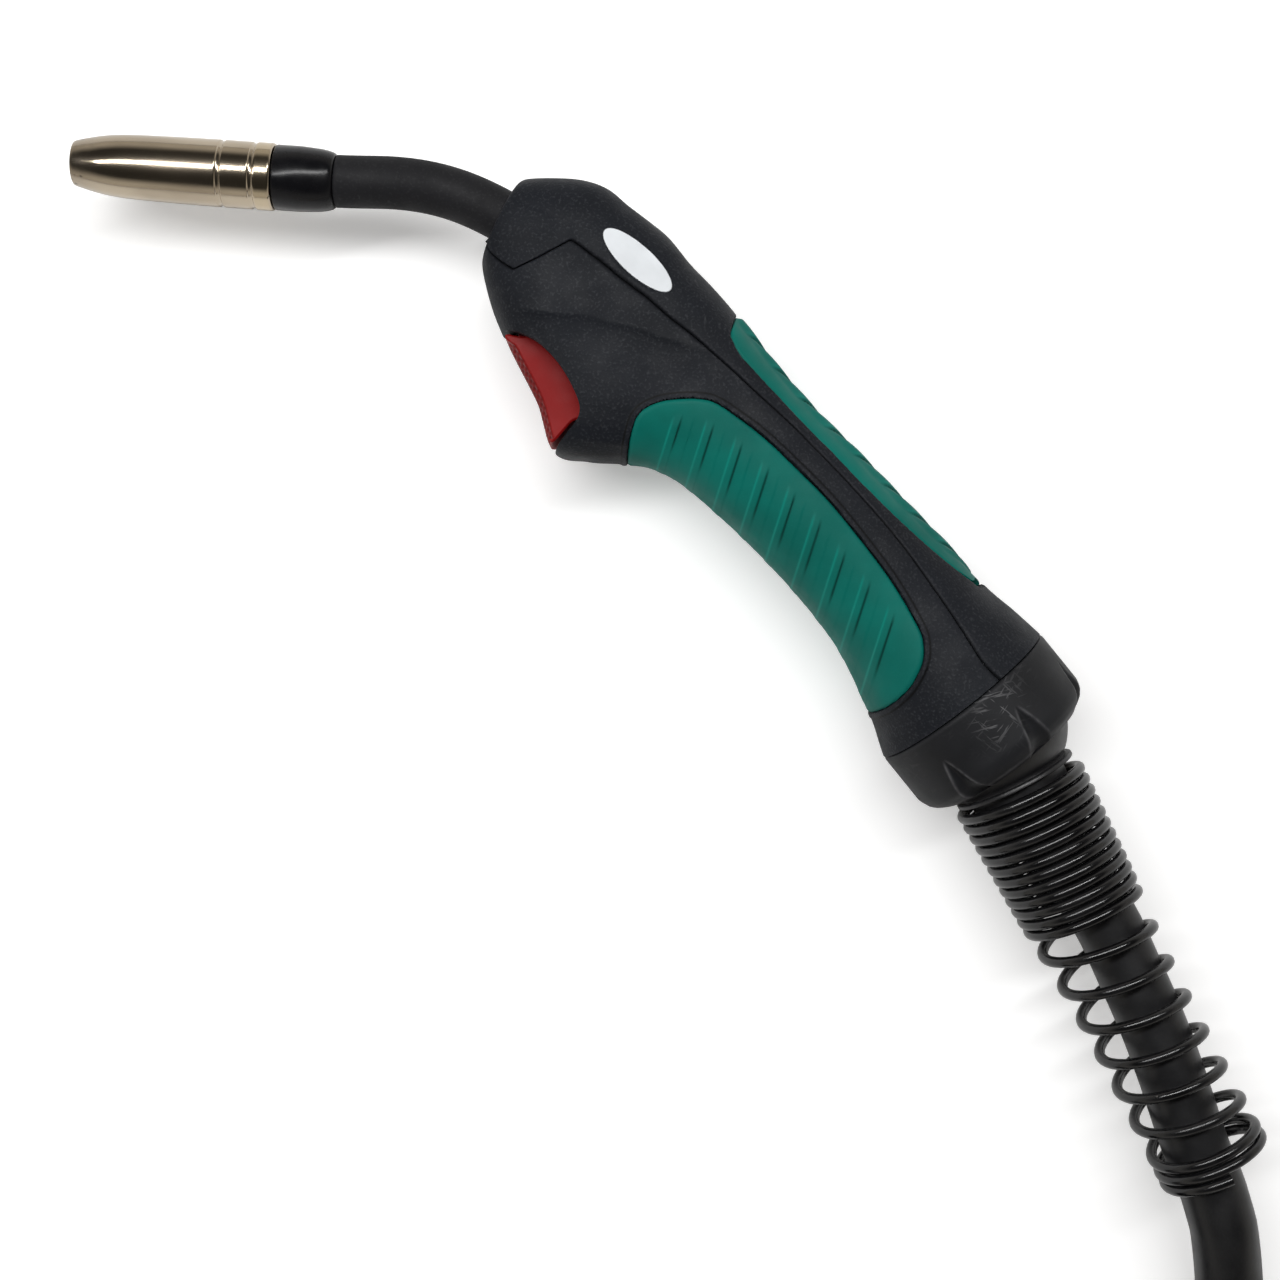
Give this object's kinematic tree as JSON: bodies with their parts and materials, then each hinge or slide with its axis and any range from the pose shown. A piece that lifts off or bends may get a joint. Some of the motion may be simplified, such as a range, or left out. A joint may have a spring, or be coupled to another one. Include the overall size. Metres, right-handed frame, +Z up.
{
  "type": "mig welding torch",
  "caption": "MIG welding torch with a bent neck, pistol grip with soft inserts and trigger, ball-jointed cable support spring, coiled cable and a central plug with a union nut.",
  "frame": {"origin": "on the ground under the middle of the torch from its nozzle to the end of its support spring, without the free cable and plug", "axes": "+Z up with the torch lying on its side, -X the way the nozzle points, -Y towards the coil and plug"},
  "size_m": [0.3468, 0.5487, 0.0524],
  "materials": {
    "nickel": "warm dull nickel plate",
    "copper": "turned copper",
    "brass": "turned brass",
    "steel": "plain steel",
    "spring_black": "black coated spring wire",
    "shell_black": "fine textured black nylon",
    "gloss_black": "smooth black plastic",
    "neck_black": "matt black insulating sleeve",
    "cable_black": "satin black rubber",
    "green": "soft teal green insert",
    "red": "smooth red plastic",
    "white": "plain white oval plate",
    "nylon": "natural nylon",
    "strap": "black hook and loop strap",
    "lead_blue": "blue wire sheath"
  },
  "bodies": {
    "lead": {"cable_in_support": "cable_black", "cable_free": "cable_black", "cable_coil": "cable_black", "cable_tail": "cable_black", "cable_tie_1": "strap", "cable_tie_2": "strap", "plug_boot": "cable_black", "plug_housing": "shell_black", "cable_ferrule": "copper", "plug_body": "brass", "wire_pin": "brass", "gas_seal": "gloss_black", "pin_block": "red"},
    "cable_support": {"ball_joint": "gloss_black", "support_spring": "spring_black"},
    "seat": {"ball_seat": "nylon"},
    "handle": {"upper_shell": "shell_black", "lower_shell": "shell_black", "upper_grip": "green", "lower_grip": "green", "label_plate": "white", "contact_tip": "copper", "tip_holder": "brass", "nozzle_spring": "steel", "nozzle_insulator": "gloss_black", "neck_tube": "copper", "neck_sleeve": "neck_black", "neck_block": "brass", "cable_in_handle": "cable_black", "trigger_pin": "steel", "trigger_spring": "steel", "switch_body": "gloss_black", "switch_lead_near": "lead_blue", "switch_lead_far": "lead_blue", "front_screw": "steel", "rear_screw": "steel"},
    "nozzle": {"gas_nozzle": "nickel"},
    "collar": {"collar": "shell_black"},
    "trigger": {"trigger": "red"},
    "plunger": {"switch_plunger": "nylon"},
    "nut": {"union_nut": "shell_black"},
    "pin_near": {"control_pin_near": "brass"},
    "pin_far": {"control_pin_far": "brass"}
  },
  "joints": [
    {"name": "support_swivel", "type": "hinge", "parent": "lead", "child": "cable_support", "pos_m": [0.08556, -0.01079, 0.0262], "axis": [0.525, -0.8511, 0], "continuous": true},
    {"name": "ball_pitch", "type": "hinge", "parent": "lead", "child": "seat", "pos_m": [0.08556, -0.01079, 0.0262], "axis": [0.8511, 0.525, 0], "range_deg": [-8, 8]},
    {"name": "ball_yaw", "type": "hinge", "parent": "seat", "child": "handle", "pos_m": [0.08556, -0.01079, 0.0262], "axis": [0, 0, 1], "range_deg": [-23.8, 1]},
    {"name": "trigger_pull", "type": "hinge", "parent": "handle", "child": "trigger", "pos_m": [-0.04464, 0.08771, 0.0262], "axis": [0, 0, 1], "range_deg": [0, 4], "stiffness_Nm_per_rad": 0.1, "springref_deg": -5.73},
    {"name": "switch_press", "type": "slide", "parent": "handle", "child": "plunger", "axis": [0.7696, 0.6385, 0], "range_m": [0, 0.0021]},
    {"name": "nozzle_pull", "type": "slide", "parent": "handle", "child": "nozzle", "axis": [-1, 0, 0], "range_m": [0, 0.03]},
    {"name": "collar_turn", "type": "hinge", "parent": "handle", "child": "collar", "pos_m": [0.08556, -0.01079, 0.0262], "axis": [0.6829, -0.7305, 0], "range_deg": [0, 60]},
    {"name": "nut_turn", "type": "hinge", "parent": "lead", "child": "nut", "pos_m": [-0.03484, -0.39629, 0.0225], "axis": [-1, 0, 0], "continuous": true},
    {"name": "pin_near_press", "type": "slide", "parent": "lead", "child": "pin_near", "axis": [1, 0, 0], "range_m": [0, 0.0025], "stiffness_N_per_m": 500, "springref_m": -0.001},
    {"name": "pin_far_press", "type": "slide", "parent": "lead", "child": "pin_far", "axis": [1, 0, 0], "range_m": [0, 0.0025], "stiffness_N_per_m": 500, "springref_m": -0.001}
  ],
  "couplings": [
    {"joint": "switch_press", "follows": "trigger_pull", "m_per_rad": 0.02937}
  ]
}
